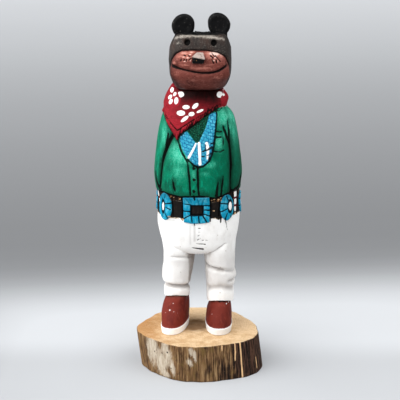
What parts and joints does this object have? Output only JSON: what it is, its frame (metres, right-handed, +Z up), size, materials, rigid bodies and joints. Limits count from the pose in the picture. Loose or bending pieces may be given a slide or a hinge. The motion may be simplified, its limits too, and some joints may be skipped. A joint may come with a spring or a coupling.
{
  "type": "carved bear figure on a log slice",
  "caption": "Carved wooden bear standing upright on a round slice of log, painted with a hood, scarf, long-sleeved shirt, necklace, plated belt, trousers and shoes.",
  "frame": {"origin": "centre of the log slice's underside, which is the bottom centre of the whole part", "axes": "+Z up the figure, -Y the way its face looks, +X to the right of someone facing it"},
  "size_m": [0.11, 0.099, 0.3024],
  "materials": {
    "painted_wood": "satin hand-painted colours over knife-carved wood, worn at the edges",
    "weathered_wood": "rough-sawn pale top, weathered brown side with bark left on"
  },
  "bodies": {
    "root": {"bear_figure": "painted_wood", "log_slice": "weathered_wood"}
  },
  "joints": []
}
